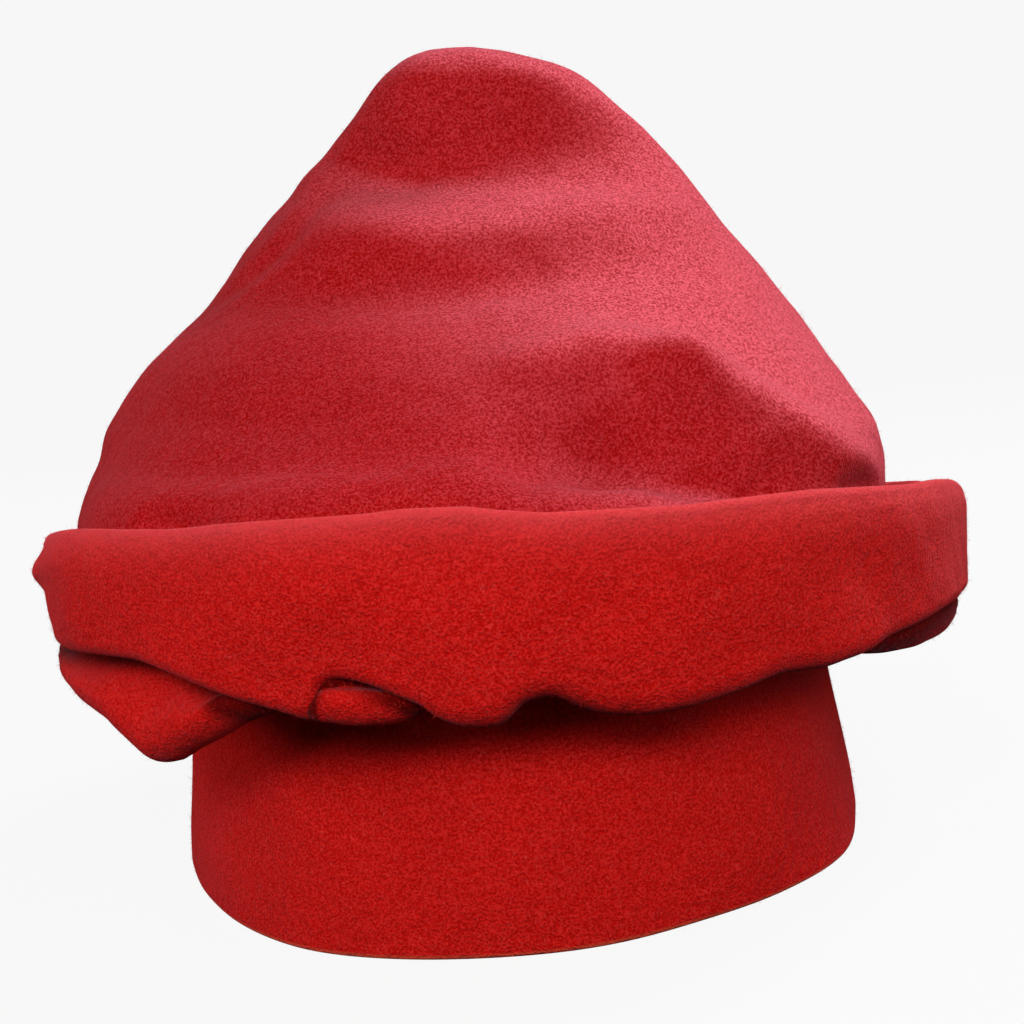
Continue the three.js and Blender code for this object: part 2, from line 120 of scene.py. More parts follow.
# Bearing in degrees, top as a share of the cuff's depth, tip and waist as shares of its sway
CUFF_RIM = np.array(
    [
        (-180, 0, 0.2, 0),
        (-150, 0.01, 0.3, 0),
        (-120, 0.02, 0.5, 0.1),
        (-104, 0.01, 0.7, 0.4),
        (-92, -0.05, 0.85, 0.6),
        (-84, -0.08, 0.9, 0.7),
        (-75, -0.07, 0.8, 0.6),
        (-66, -0.03, 0.5, 0.3),
        (-58, 0, 0.3, 0.1),
        (-50, 0.015, 0.2, 0),
        (-40, 0, 0.1, 0),
        (-33, -0.01, 0.1, 0),
        (-27, 0, 0.1, 0),
        (-12, 0.01, 0.1, 0),
        (-8, 0.022, 0.1, 0),
        (-3, 0.018, 0.1, 0),
        (1, -0.008, 0.1, 0),
        (6, -0.03, 0.1, 0),
        (17, -0.03, 0.1, 0),
        (25, -0.01, 0.1, 0),
        (35, 0.01, 0.1, 0),
        (47, 0.01, 0.1, 0),
        (58, 0.03, 0.1, 0),
        (68, 0.02, 0.05, 0),
        (77, -0.03, 0, 0),
        (88, -0.02, 0, 0),
        (100, 0.04, 0.1, 0),
        (118, 0.045, 0.2, 0.05),
        (140, 0.01, 0.2, 0),
        (180, 0, 0.2, 0),
    ]
)

# Bearing, the lowest places of the cuff's wall as a share of its depth below the nominal top edge, and the
# radius of the fold there in millimetres
CUFF_FOOT = np.array(
    [
        (-180, 0.81, 4),
        (-150, 0.88, 4),
        (-120, 0.78, 4),
        (-104, 0.69, 3),
        (-90, 0.63, 2.4),
        (-76, 0.615, 2.2),
        (-60, 0.615, 2.2),
        (-52.5, 0.62, 2.2),
        (-47.2, 0.628, 2.2),
        (-42.4, 0.645, 2.2),
        (-37, 0.7, 2.2),
        (-32.3, 0.765, 2.2),
        (-28, 0.832, 2.2),
        (-24.1, 0.886, 2.4),
        (-22, 0.918, 3),
        (-20.6, 0.94, 3.2),
        (-19.8, 0.935, 3),
        (-18.9, 0.85, 2.2),
        (-18.2, 0.775, 2),
        (-17.4, 0.748, 2),
        (-16.6, 0.744, 2),
        (-15.3, 0.754, 2),
        (-13.7, 0.778, 2),
        (-12.1, 0.808, 2),
        (-10.2, 0.85, 2.2),
        (-8.6, 0.889, 2.6),
        (-7.6, 0.933, 3),
        (-6.7, 0.963, 3.4),
        (-5, 0.994, 4),
        (-3, 1.003, 4),
        (-1.7, 0.997, 4),
        (-0.7, 0.972, 4),
        (1.1, 0.9, 4),
        (2.5, 0.88, 4),
        (3.7, 0.877, 4),
        (5, 0.895, 4),
        (6.3, 0.927, 4),
        (8.2, 0.962, 4),
        (10.2, 0.983, 4),
        (13, 0.994, 4),
        (16.4, 0.984, 4),
        (20.2, 0.953, 4),
        (24, 0.913, 4),
        (26.6, 0.878, 4),
        (29.2, 0.856, 4),
        (33.8, 0.856, 4),
        (36.6, 0.835, 3.4),
        (40.2, 0.804, 2.6),
        (43.8, 0.755, 2.4),
        (47.8, 0.721, 2.4),
        (52.6, 0.684, 2.4),
        (58.5, 0.646, 2.4),
        (66, 0.628, 2.4),
        (76, 0.625, 2.4),
        (86, 0.64, 2.6),
        (96, 0.69, 3),
        (110, 0.78, 4),
        (140, 0.92, 4),
        (162, 0.84, 4),
        (180, 0.81, 4),
    ]
)

# The lobes that hang out from behind the wall: bearing, lowest place as a share of the cuff's depth, then how
# far its belly stands out from the wall and how far in it starts under the wall's lip, in millimetres
LEFT_LOBE = np.array(
    [
        (-104, 0.66, -8, 7),
        (-92, 0.69, -6, 7),
        (-84, 0.74, -4.5, 7),
        (-76, 0.79, -3.6, 7.5),
        (-68, 0.84, -3, 8.5),
        (-60, 0.89, -2.4, 9.5),
        (-54, 0.935, -1.8, 10),
        (-49.5, 0.985, -1.4, 10.5),
        (-46.3, 1.06, -1, 11),
        (-43.8, 1.12, -0.8, 11),
        (-41, 1.165, -0.6, 11),
        (-38.5, 1.15, -0.6, 11),
        (-36, 1.1, -0.8, 11),
        (-32.3, 1.03, -1.6, 11),
        (-29.3, 0.96, -2.8, 11),
        (-27.1, 0.925, -4, 11),
        (-25.2, 0.9, -5.5, 11),
        (-23.4, 0.86, -8, 11),
    ]
)
MIDDLE_LOBE = np.array(
    [
        (-22.6, 0.88, -5, 6),
        (-21, 0.92, -3.2, 4.5),
        (-19.8, 0.938, -1.4, 2.6),
        (-18.6, 0.952, -0.5, 2.2),
        (-17, 0.966, -0.3, 3.6),
        (-15.3, 0.973, -0.6, 5.6),
        (-13.7, 0.973, -1.2, 7.5),
        (-12, 0.966, -2, 9),
        (-10.3, 0.945, -3.2, 10),
        (-9, 0.905, -5, 11),
        (-7.6, 0.86, -8, 11),
    ]
)
RIGHT_LOBE = np.array(
    [
        (37.5, 0.76, -9, 11),
        (39.5, 0.79, -7.5, 10.5),
        (41.5, 0.812, -6, 10),
        (44, 0.828, -5, 9.5),
        (47.8, 0.838, -4.4, 9),
        (52.6, 0.838, -4, 8.5),
        (58.5, 0.826, -3.8, 8),
        (66, 0.806, -3.6, 7.5),
        (76, 0.78, -3.6, 7),
        (86, 0.745, -4.5, 7),
        (96, 0.7, -7, 7.5),
        (104, 0.68, -8, 8),
    ]
)

# How far the wall stands out, as a share of the sway, at a share of the way down from its free edge
CUFF_WALL = np.array([(0, -0.1), (0.12, 0), (0.4, 0), (0.75, -0.04), (1, -0.12)])

# Painted shade: a near-black red laid on the felt in the tucks under the cuff's lips and round the underside
# of its fold.
TUCK_SHADE = (0.06, 0.0004, 0.0003, 1)


class Mark(Enum):
    """What a mesh tells its material at every point."""

    # Share of the painted pink highlight on the felt sheets, and a random pale tone on single fibres.
    HIGHLIGHT_AND_TONE = "highlight_and_tone"
    # Above zero the band's paler cut edge and a painted highlight along the cuff's top edge; below zero
    # painted shade in the tucks.
    EDGE_AND_PAINTED_LIGHT = "edge_and_painted_light"


def smooth_read(table: np.ndarray, at: np.ndarray, column: int) -> np.ndarray:
    """Reads a column of a table between its rows as a smooth curve that never overshoots them.

    Args:
        table: Rows in rising order of their first column.
        at: Places along the first column.
        column: The column to read.

    Returns:
        The column's value at each place.
    """
    keys, values = table[:, 0], table[:, column]
    rise = np.diff(values) / np.diff(keys)
    slope = np.zeros_like(values)
    slope[0], slope[-1] = rise[0], rise[-1]
    both = rise[:-1] * rise[1:]
    slope[1:-1] = np.where(both > 0, 2 * both / np.where(both > 0, rise[:-1] + rise[1:], 1), 0)
    i = np.clip(np.searchsorted(keys, at), 1, len(keys) - 1)
    span = keys[i] - keys[i - 1]
    t = np.clip((at - keys[i - 1]) / span, 0, 1)
    blend = t * t * (3 - 2 * t)
    curve = values[i - 1] + (values[i] - values[i - 1]) * blend
    return curve + slope[i - 1] * span * t * (1 - t) ** 2 - slope[i] * span * t * t * (1 - t)


def rounded(table: np.ndarray, reach: float) -> np.ndarray:
    """Makes a fine table out of a coarse one, with its corners rounded off.

    Args:
        table: Rows in rising order of their first column.
        reach: How far along the first column the rounding reaches.

    Returns:
        The fine table.
    """
    at = np.linspace(table[0, 0], table[-1, 0], 500)
    away = np.arange(-3 * reach, 3 * reach, at[1] - at[0])
    weights = np.exp(-((away / reach) ** 2))
    edge = np.minimum(at - at[0], at[-1] - at) / (3 * reach)
    columns = [at]
    for k in range(1, table.shape[1]):
        sharp = smooth_read(table, at, k)
        soft = smooth_read(table, at[:, None] + away, k) @ weights / weights.sum()
        columns.append(sharp + (soft - sharp) * smooth_step(edge, 0, 1))
    return np.column_stack(columns)


def smooth_step(x: np.ndarray, low: float | np.ndarray, high: float | np.ndarray) -> np.ndarray:
    """Returns 0 below low, 1 above high, and an eased rise between them."""
    t = np.clip((x - low) / (high - low), 0, 1)
    return t * t * (3 - 2 * t)


def lean(x: np.ndarray, y: np.ndarray) -> np.ndarray:
    """Returns the lift of the leaning upper hat over places in plan."""
    return -LEAN_BACK * y - LEAN_RIGHT * x


def oval(bearing: np.ndarray, reaches: tuple, fullness: float) -> Pair:
    """Places on an oval that may reach a different way to each side.

    Args:
        bearing: Radians round from the front.
        reaches: Reaches to the left, right, front and back.
        fullness: How far the oval fills out towards the corners of its box.

    Returns:
        The places across and along, as two arrays.
    """
    left, right, front, back = reaches
    across, along = np.sin(bearing), np.cos(bearing)
    x = np.where(across < 0, left, right) * across * (1 + fullness * along**2)
    y = -np.where(along < 0, back, front) * along * (1 + fullness * across**2)
    return x, y


def band_oval(bearing: np.ndarray, half: tuple, outset: float) -> Pair:
    """Places on an oval of the band, shifted and skewed as the band stands.

    Args:
        bearing: Radians round from the front.
        half: Half the oval's width and depth.
        outset: How far it is grown.

    Returns:
        The places across and along, as two arrays.
    """
    across, along = half[0] + outset, half[1] + outset
    x, y = oval(bearing, (across + BAND_SHIFT, across - BAND_SHIFT, along, along), 0)
    return x - BAND_SKEW * y, y


def seam_ring(bearing: np.ndarray, rise: float, outset: float) -> np.ndarray:
    """Returns a ring of the lap, above or below the seam and outside the band's felt."""
    x, y = band_oval(bearing, SEAM_HALF, outset)
    return np.stack([x, y, SEAM_HEIGHT + rise + lean(x, y)], -1)


def unit(v: np.ndarray) -> np.ndarray:
    """Returns vectors at length one."""
    return v / np.maximum(np.linalg.norm(v, axis=-1, keepdims=True), 1e-12)


def bearings(front: int, back: int) -> np.ndarray:
    """Spreads bearings all the way round from the back, with both ends in one place.

    Args:
        front: How many lie over the front half.
        back: How many lie over the back half.

    Returns:
        The bearings in radians.
    """
    parts = [
        np.linspace(-180, -90, back // 2, endpoint=False),
        np.linspace(-90, 90, front, endpoint=False),
        np.linspace(90, 180, back // 2 + 1),
    ]
    return np.radians(np.concatenate(parts))


def facing(surface: Surface, b: np.ndarray, h: np.ndarray, span: tuple, step: float) -> np.ndarray:
    """Outward normals of a surface given as a function of bearing and height.

    Args:
        surface: The surface's points from bearing and height.
        b: Bearings.
        h: Heights.
        span: Lowest and highest height that the surface has.
        step: Reach of the height difference.

    Returns:
        Unit normals.
    """
    low, high = span
    level = surface(b + BEARING_STEP, h) - surface(b - BEARING_STEP, h)
    up = surface(b, np.minimum(h + step, high)) - surface(b, np.maximum(h - step, low))
    return unit(np.cross(level, up))


def ripples(points: np.ndarray, seed: int, size: float, depth: float, waves: int = 28) -> np.ndarray:
    """Soft random unevenness of hand-made felt, as a sum of waves in random directions.

    Args:
        points: Places in millimetres.
        seed: Seed of the random directions.
        size: Typical length of a wave.
        depth: Typical depth.
        waves: Number of waves.

    Returns:
        How far each place is pushed out.
    """
    rng = np.random.default_rng(seed)
    ways = unit(rng.normal(size=(waves, 3)))
    ways = ways * (2 * math.pi / (size * rng.uniform(0.7, 1.6, (waves, 1))))
    phases = rng.uniform(0, 2 * math.pi, waves)
    return depth * math.sqrt(2 / waves) * np.sin(points @ ways.T + phases).sum(-1)


def spline(stops: np.ndarray, rows: int) -> np.ndarray:
    """A smooth curve through stops, with its points evenly spaced along it.

    Args:
        stops: Stops by two coordinates by bearings.
        rows: How many points to make.

    Returns:
        The points by two coordinates by bearings.
    """
    padded = np.concatenate([2 * stops[:1] - stops[1:2], stops, 2 * stops[-1:] - stops[-2:-1]])
    t = np.linspace(0, 1, 12, endpoint=False)[:, None, None]
    curve = [
        0.5 * (2 * b + (c - a) * t + (2 * a - 5 * b + 4 * c - d) * t**2 + (3 * b - a - 3 * c + d) * t**3)
        for a, b, c, d in zip(padded, padded[1:], padded[2:], padded[3:])
    ]
    line = np.concatenate([*curve, stops[-1:]])
    gone = np.cumsum(np.linalg.norm(np.diff(line, axis=0, prepend=line[:1]), axis=1) + 1e-6, 0)
    made = np.empty((rows, 2, line.shape[2]))
    for k in range(line.shape[2]):
        at = np.linspace(gone[0, k], gone[-1, k], rows)
        for way in range(2):
            made[:, way, k] = np.interp(at, gone[:, k], line[:, way, k])
    return made


def sweep(stops: tuple, rows: int) -> Pair:
    """A soft curve that leaves its first stop towards the second and reaches its last from the third.

    Args:
        stops: Four pairs of distance outwards and height, each by bearing.
        rows: How many points to make, leaving out the start.

    Returns:
        Distances outwards and heights, as rows by bearings.
    """
    t = np.linspace(0, 1, rows + 1)[1:, None]
    weights = ((1 - t) ** 3, 3 * t * (1 - t) ** 2, 3 * t * t * (1 - t), t**3)
    x, z = (sum(w * stop[k] for w, stop in zip(weights, stops)) for k in range(2))
    return x, z


@dataclass(frozen=True)
class Fold:
    """A soft fold that runs along the crown through rows of (bearing in degrees, height, share)."""

    name: str
    path: tuple
    spread: float
    push: float
    steps: int = 24

    def on(self, points: np.ndarray, surface: Surface) -> np.ndarray:
        """How far the fold pushes each point out.

        Args:
            points: Places on the plain surface, in millimetres.
            surface: The plain surface from bearing and height share.

        Returns:
            The push, hollows negative.
        """
        rows = np.array(self.path, float)
        t = np.arange(len(rows), dtype=float)
        fine = np.linspace(0, len(rows) - 1, self.steps * (len(rows) - 1) + 1)
        b, z, share = (smooth_read(np.column_stack([t, rows[:, k]]), fine, 1) for k in range(3))
        line = surface(np.radians(b), (z - SEAM_HEIGHT) / CROWN_HEIGHT)
        best, weight = np.full(len(points), 1e9), np.zeros(len(points))
        for place, part in zip(line, share):
            away = ((points - place) ** 2).sum(-1)
            nearer = away < best
            best[nearer], weight[nearer] = away[nearer], part
        return self.push * weight * np.exp(-best / self.spread**2)


@dataclass(frozen=True)
class FeltFinish:
    """A finish of red wool felt, with its colours in linear values.

    The deep colour lies between the tufts. The pink is a painted highlight where the felt faces the top lamp,
    and also lightens the tops of the tufts and the fibre strands. The edge colour is a paler cut edge on the
    band and a painted highlight along the cuff's top edge. The two shares after the colours set how much pink
    goes on as painted highlight (a random pale tone on single fibres) and on all tufts.
    """

    name: str
    deep: tuple = (0.27, 0.001, 0.0008)
    body: tuple = (0.66, 0.006, 0.004)
    highlight_and_fleck_pink: tuple = (0.8, 0.105, 0.105)
    edge: tuple = (0.75, 0.1, 0.05)
    highlight_and_tone: float = 0.95
    fleck: float = 0.09
    sheen: float = 0.06
    sheen_tint: tuple = (0.95, 0.65, 0.9)
    sheen_spread: float = 0.35
    roughness: float = 0.9
    shine: float = 0.03
    grain_size: float = 1.0
    grain_depth: float = 0.0005

    def material(self, grain: bpy.types.NodeTree, colour: bpy.types.NodeTree) -> bpy.types.Material:
        """Builds the material.

        Args:
            grain: The shared grain group.
            colour: The shared colour group.

        Returns:
            The finished material.
        """
        made = bpy.data.materials.new(self.name)
        made.use_nodes = True
        tree = made.node_tree
        shader = next(n for n in tree.nodes if n.type == "BSDF_PRINCIPLED")
        shader.inputs["Roughness"].default_value = self.roughness
        shader.inputs["Specular IOR Level"].default_value = self.shine
        shader.inputs["Sheen Weight"].default_value = self.sheen
        shader.inputs["Sheen Roughness"].default_value = self.sheen_spread
        shader.inputs["Sheen Tint"].default_value = (*self.sheen_tint, 1)
        place = tree.nodes.new("ShaderNodeTexCoord")
        felt = tree.nodes.new("ShaderNodeGroup")
        felt.node_tree = grain
        felt.inputs["Size"].default_value = self.grain_size
        tree.links.new(place.outputs["Object"], felt.inputs["Place"])
        colour_with_painted_light = tree.nodes.new("ShaderNodeGroup")
        colour_with_painted_light.node_tree = colour
        colours_with_painted_light = {"Deep": self.deep, "Body": self.body, "HighlightAndFleckPink": self.highlight_and_fleck_pink, "Edge": self.edge}
        for socket, value in colours_with_painted_light.items():
            colour_with_painted_light.inputs[socket].default_value = (*value, 1)
        # How much pink the first mark lays on: painted highlight on the sheets, a random pale tone on single
        # fibres.
        colour_with_painted_light.inputs["Nap"].default_value = self.highlight_and_tone
        colour_with_painted_light.inputs["Fleck"].default_value = self.fleck
        for mark, socket in ((Mark.HIGHLIGHT_AND_TONE, "Lift"), (Mark.EDGE_AND_PAINTED_LIGHT, "EdgeAndPaintedLight")):
            attribute = tree.nodes.new("ShaderNodeAttribute")
            attribute.attribute_name = mark.value
            tree.links.new(attribute.outputs["Fac"], colour_with_painted_light.inputs[socket])
        for name in ("Fibres", "Mottle", "Cloud"):
            tree.links.new(felt.outputs[name], colour_with_painted_light.inputs[name])
        tree.links.new(colour_with_painted_light.outputs["Color"], shader.inputs["Base Color"])
        bump = tree.nodes.new("ShaderNodeBump")
        bump.inputs["Strength"].default_value = 1.0
        bump.inputs["Distance"].default_value = self.grain_depth
        tree.links.new(felt.outputs["Height"], bump.inputs["Height"])
        tree.links.new(bump.outputs["Normal"], shader.inputs["Normal"])
        return made


@dataclass
class GroupMaker:
    """Builds a shader node group with named inputs and outputs."""

    name: str
    inputs: dict
    outputs: dict
    tree: bpy.types.NodeTree = field(init=False)

    def __post_init__(self) -> None:
        """Makes the empty group and its sockets."""
        self.tree = bpy.data.node_groups.new(self.name, "ShaderNodeTree")
        for way, sockets in (("INPUT", self.inputs), ("OUTPUT", self.outputs)):
            for name, kind in sockets.items():
                self.tree.interface.new_socket(name=name, in_out=way, socket_type=f"NodeSocket{kind}")
        self.start = self.tree.nodes.new("NodeGroupInput")
        self.end = self.tree.nodes.new("NodeGroupOutput")

    def node(self, kind: str, settings: dict, **inputs: object) -> bpy.types.Node:
        """Adds a node.

        Args:
            kind: Node type without its ShaderNode prefix.
            settings: Properties of the node itself.
            inputs: Values or output sockets by input name, with _ for a space, or by number as i0, i1.

        Returns:
            The node.
        """
        made = self.tree.nodes.new("ShaderNode" + kind)
        for name, value in settings.items():
            setattr(made, name, value)
        for name, value in inputs.items():
            key = int(name[1:]) if name[1:].isdigit() else name.replace("_", " ")
            if isinstance(value, Socket):
                self.tree.links.new(value, made.inputs[key])
            else:
                made.inputs[key].default_value = value
        return made

    def math(self, what: str, a: object, b: object = 0.0, clamp: bool = False) -> Socket:
        """Adds a sum or other operation on two values and returns its output."""
        return self.node("Math", {"operation": what, "use_clamp": clamp}, i0=a, i1=b).outputs[0]

    def range(self, value: Socket, low: float, high: float, start: float = 0.0, end: float = 1.0) -> Socket:
        """Adds a clamped remapping of a value from one range to another and returns its output."""
        spans = {"From_Min": low, "From_Max": high, "To_Min": start, "To_Max": end}
        return self.node("MapRange", {"clamp": True}, Value=value, **spans).outputs[0]

    def mix(self, share: Socket, a: object, b: object) -> Socket:
        """Adds a blend of two colours by a share and returns its output."""
        settings = {"data_type": "RGBA", "clamp_factor": True}
        return self.node("Mix", settings, i0=share, i6=a, i7=b).outputs[2]

    def noise(self, place: Socket, scale: float, detail: float, twist: float = 0.0) -> Socket:
        """Adds a noise of features per metre and returns its value."""
        inputs = {"Vector": place, "Scale": scale, "Detail": detail, "Distortion": twist}
        return self.node("TexNoise", {}, **inputs).outputs[0]

    def out(self, **sockets: Socket) -> bpy.types.NodeTree:
        """Joins the group's outputs.

        Args:
            sockets: What feeds each output, by its name.

        Returns:
            The group's tree.
        """
        for name, value in sockets.items():
            self.tree.links.new(value, self.end.inputs[name])
        return self.tree


def felt_grain() -> bpy.types.NodeTree:
    """Builds the grain of felted wool: matted fibres, fine tufts and soft clouds.

    Returns:
        The group, which puts out a height and three masks.
    """
    g = GroupMaker(
        "felt_grain",
        {"Place": "Vector", "Size": "Float"},
        {"Height": "Float", "Fibres": "Float", "Mottle": "Float", "Cloud": "Float"},
    )
    spot = {"Vector": g.start.outputs["Place"], "Scale": g.start.outputs["Size"]}
    place = g.node("VectorMath", {"operation": "SCALE"}, **spot).outputs[0]
    tufts = g.noise(place, 1750.0, 1.0)
    lumps = g.noise(place, 420.0, 0.0)
    clouds = g.noise(place, 45.0, 1.0)
    ridge = g.math("ABSOLUTE", g.math("SUBTRACT", g.noise(place, 560.0, 0.0, 2.6), 0.5))
    fibres = g.range(ridge, 0.0, 0.03, 1.0, 0.0)
    height = g.math("ADD", g.math("MULTIPLY", tufts, 0.95), g.math("MULTIPLY", lumps, 0.8))
    mottle = g.range(tufts, 0.34, 0.64)
    return g.out(Height=height, Fibres=fibres, Mottle=mottle, Cloud=g.range(clouds, 0.35, 0.65))


def felt_colour() -> bpy.types.NodeTree:
    """Builds the felt's colour: deep between the tufts, painted shade in the tucks, a painted pink highlight,
    paler cut edges.

    The edge colour also lies as painted highlight along the cuff's top edge.

    Returns:
        The group, which puts out a colour.
    """
    g = GroupMaker(
        "felt_colour",
        {
            **dict.fromkeys(("Deep", "Body", "HighlightAndFleckPink", "Edge"), "Color"),
            **dict.fromkeys(("Nap", "Fleck", "Lift", "EdgeAndPaintedLight", "Fibres", "Mottle", "Cloud"), "Float"),
        },
        {"Color": "Color"},
    )
    s = g.start.outputs
    base = g.mix(g.range(s["Mottle"], 0.0, 1.0, 0.52, 0.0), s["Body"], s["Deep"])
    base = g.mix(g.math("MULTIPLY", g.range(s["Cloud"], 0.0, 1.0), 0.16), base, s["Deep"])
    tops = g.range(s["Mottle"], 0.35, 1.0)
    # Painted highlight: the pink laid by the first mark, where the sheets face the top lamp, broken up by the
    # tufts.
    painted_highlight = g.math("MULTIPLY", s["Lift"], s["Nap"])
    nap = g.math("MULTIPLY", painted_highlight, g.range(s["Mottle"], 0.0, 1.0, 0.28, 1.1))
    base = g.mix(g.math("ADD", nap, g.math("MULTIPLY", tops, s["Fleck"])), base, s["HighlightAndFleckPink"])
    base = g.mix(g.math("MULTIPLY", s["Fibres"], 0.26), base, s["HighlightAndFleckPink"])
    # Edge colour: a paler cut edge on the band, a painted highlight along the cuff's top edge.
    base = g.mix(g.math("MULTIPLY", s["EdgeAndPaintedLight"], 0.6, clamp=True), base, s["Edge"])
    # Painted shade: where the mark is below zero the felt darkens to near black in the tucks.
    base = g.mix(g.math("MULTIPLY", s["EdgeAndPaintedLight"], -0.9, clamp=True), base, TUCK_SHADE)
    return g.out(Color=base)


def mark(mesh: bpy.types.Mesh, what: Mark, values: np.ndarray) -> None:
    """Stores a value at each point of a mesh."""
    layer = mesh.attributes.new(what.value, "FLOAT", "POINT")
    layer.data.foreach_set("value", values.astype(np.float32))


@dataclass(frozen=True)
class Nap:
    """The short bent fibres that stand out of felt, with lengths in millimetres.

    Every fibre starts a little inside the felt, bends at its middle and ends in a point. A few are longer.
    """

    length: tuple = (4.0, 0.28)
    strays: float = 0.002
    stray_length: float = 3.2
    bow: float = 0.35
    rise: tuple = (0.12, 0.6)
    tip_rise: tuple = (0.3, 1.1)
    half_width: tuple = (0.016, 0.03)
    root: float = 0.15
    lowest: float = 0.1
    quick_share: int = 20

    def verts(self, points: np.ndarray, count: int, rng: np.random.Generator) -> np.ndarray:
        """Scatters fibres evenly over a face.

        Args:
            points: Rings of the face, in metres.
            count: How many fibres.
            rng: Source of the random draws.

        Returns:
            Five points for each fibre: two at its root, two at its middle and its tip.
        """
        a, b, c = points[:-1, :-1], points[:-1, 1:], points[1:, :-1]
        across, up = b - a, c - a
        normal = np.cross(across, up)
        area = np.linalg.norm(normal, axis=-1)
        centre = points.reshape(-1, 3).mean(0) * (0, 0, 1)
        outward = np.sign(((a - centre) * (1, 1, 0) * normal).sum(-1).mean())
        normal = unit(normal) * outward
        pick = rng.choice(area.size, count, p=(area / area.sum()).reshape(-1))
        i, j = np.unravel_index(pick, area.shape)
        u, v = rng.random((2, count, 1))
        root = a[i, j] + across[i, j] * u + up[i, j] * v
        n, side = normal[i, j], unit(across[i, j])
        turn = rng.uniform(0, 2 * math.pi, (count, 1))
        way = np.cos(turn) * side + np.sin(turn) * np.cross(n, side)
        bow = np.cross(n, way) * rng.normal(0, self.bow, (count, 1))
        length = rng.gamma(*self.length, (count, 1)) * MM
        length = length * np.where(rng.random((count, 1)) < self.strays, self.stray_length, 1)
        rise = rng.uniform(*self.rise, (count, 1))
        middle = root + length * (0.5 * way + rise * n * 0.62)
        tip = root + length * (0.95 * way + bow + rise * n * rng.uniform(*self.tip_rise, (count, 1)))
        root = root - self.root * MM * n
        wide = unit(np.cross(way, n)) * rng.uniform(*self.half_width, (count, 1)) * MM
        made = np.stack([root - wide, root + wide, middle + wide * 0.9, middle - wide * 0.9, tip], 1)
        made[..., 2] = np.maximum(made[..., 2], self.lowest * MM)
        return made

    def grow(self, name: str, points: np.ndarray, count: int, seed: int, material: bpy.types.Material
             ) -> bpy.types.Object:
        """Grows the fibres out of a face.

        Args:
            name: The piece's name.
            points: Rings of the face, in metres.
            seed: Seed of the random draws.
            material: The finish of the fibres.

        Returns:
            The piece that holds them all.
        """
        rng = np.random.default_rng(seed)
        count = count
        verts = self.verts(points, count, rng)
        each = verts.shape[1]
        first = np.arange(count)[:, None] * each
        tris = np.concatenate([first + (0, 1, 2), first + (0, 2, 3), first + (3, 2, 4)])
        mesh = bpy.data.meshes.new(name)
        mesh.from_pydata(verts.reshape(-1, 3).tolist(), [], tris.tolist())
        mesh.materials.append(material)
        made = bpy.data.objects.new(name, mesh)
        bpy.context.scene.collection.objects.link(made)
        mark(mesh, Mark.HIGHLIGHT_AND_TONE, np.repeat(rng.uniform(0, 1, count), each))
        mark(mesh, Mark.EDGE_AND_PAINTED_LIGHT, np.zeros(count * each))
        return made


@dataclass
class FeltShell:
    """One closed sheet of felt, made from a grid that is wrapped round the hat and welded shut."""

    name: str
    node: str
    slot: str
    finish: FeltFinish
    front: int = 300
    back: int = 160
    fibres: int = 30000
    seed: int = 1
    leads: bool = True
    # Share of the painted pink highlight that this sheet takes; the tufts' flecks don't depend on it.
    highlight_and_fleck_pink: float = 1.0
    nap: Nap = Nap()
    weld: float = 0.00001

    def rings(self) -> tuple[np.ndarray, np.ndarray, slice]:
        """Makes the rings of points that the grid is wrapped on.

        Returns:
            The rings in millimetres, an edge mark for each point (above zero the band's paler cut edge and
            the cuff's painted edge highlight, below zero painted shade in the tucks), and which rows grow
            fibres.
        """
        raise NotImplementedError

    def build(self, material: bpy.types.Material, fibre: bpy.types.Material) -> list[bpy.types.Object]:
        """Makes the sheet and its raised fibres.

        Args:
            material: The felt.
            fibre: The finish of single fibres.

        Returns:
            The pieces.
        """
        points, edge_and_painted_light, outer = self.rings()
        points = (points + (SHIFT_X, 0, 0)) * MM
        rows, columns = points.shape[:2]
        bpy.ops.object.select_all(action="DESELECT")
        bpy.ops.mesh.primitive_grid_add(x_subdivisions=columns - 1, y_subdivisions=rows - 1, size=1)
        piece = bpy.context.object
        piece.name = self.name
        mesh = piece.data
        mesh.vertices.foreach_set("co", points.reshape(-1).astype(np.float32))
        mark(mesh, Mark.EDGE_AND_PAINTED_LIGHT, edge_and_painted_light.reshape(-1))
        bpy.ops.object.mode_set(mode="EDIT")
        bpy.ops.mesh.select_all(action="SELECT")
        bpy.ops.mesh.remove_doubles(threshold=self.weld)
        bpy.ops.mesh.normals_make_consistent(inside=False)
        bpy.ops.object.mode_set(mode="OBJECT")
        bpy.ops.object.shade_smooth()
        mark(mesh, Mark.HIGHLIGHT_AND_TONE, self.highlight_and_tone(mesh))
        mesh.materials.append(material)
        face = np.roll(points, -outer.start, 0)[: outer.stop - outer.start]
        nap = self.nap.grow(self.name + "_nap", face, self.fibres, self.seed, fibre)
        for made in (piece, nap):
            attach(made, "root")
        if self.leads:
            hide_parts(self.node)
        return [piece, nap]

    def highlight_and_tone(self, mesh: bpy.types.Mesh) -> np.ndarray:
        """Works out the painted pink highlight, strongest where the felt faces the top lamp and fading low
        down at the left.

        Args:
            mesh: The welded sheet.

        Returns:
            A share for each point.
        """
        normals, spots = np.empty((2, len(mesh.vertices) * 3), np.float32)
        mesh.vertex_normals.foreach_get("vector", normals)
        mesh.vertices.foreach_get("co", spots)
        faces = smooth_step(normals.reshape(-1, 3) @ unit(np.array(PAINTED_HIGHLIGHT_WAY)), *PAINTED_HIGHLIGHT_FACING)
        highlight_reach = smooth_step(spots.reshape(-1, 3) @ PAINTED_HIGHLIGHT_FADE_WAY, *PAINTED_HIGHLIGHT_FADE)
        return self.highlight_and_fleck_pink * (PAINTED_HIGHLIGHT_LEAST + (1 - PAINTED_HIGHLIGHT_LEAST) * highlight_reach) * (PAINTED_HIGHLIGHT_LEAST + (1 - PAINTED_HIGHLIGHT_LEAST) * faces)


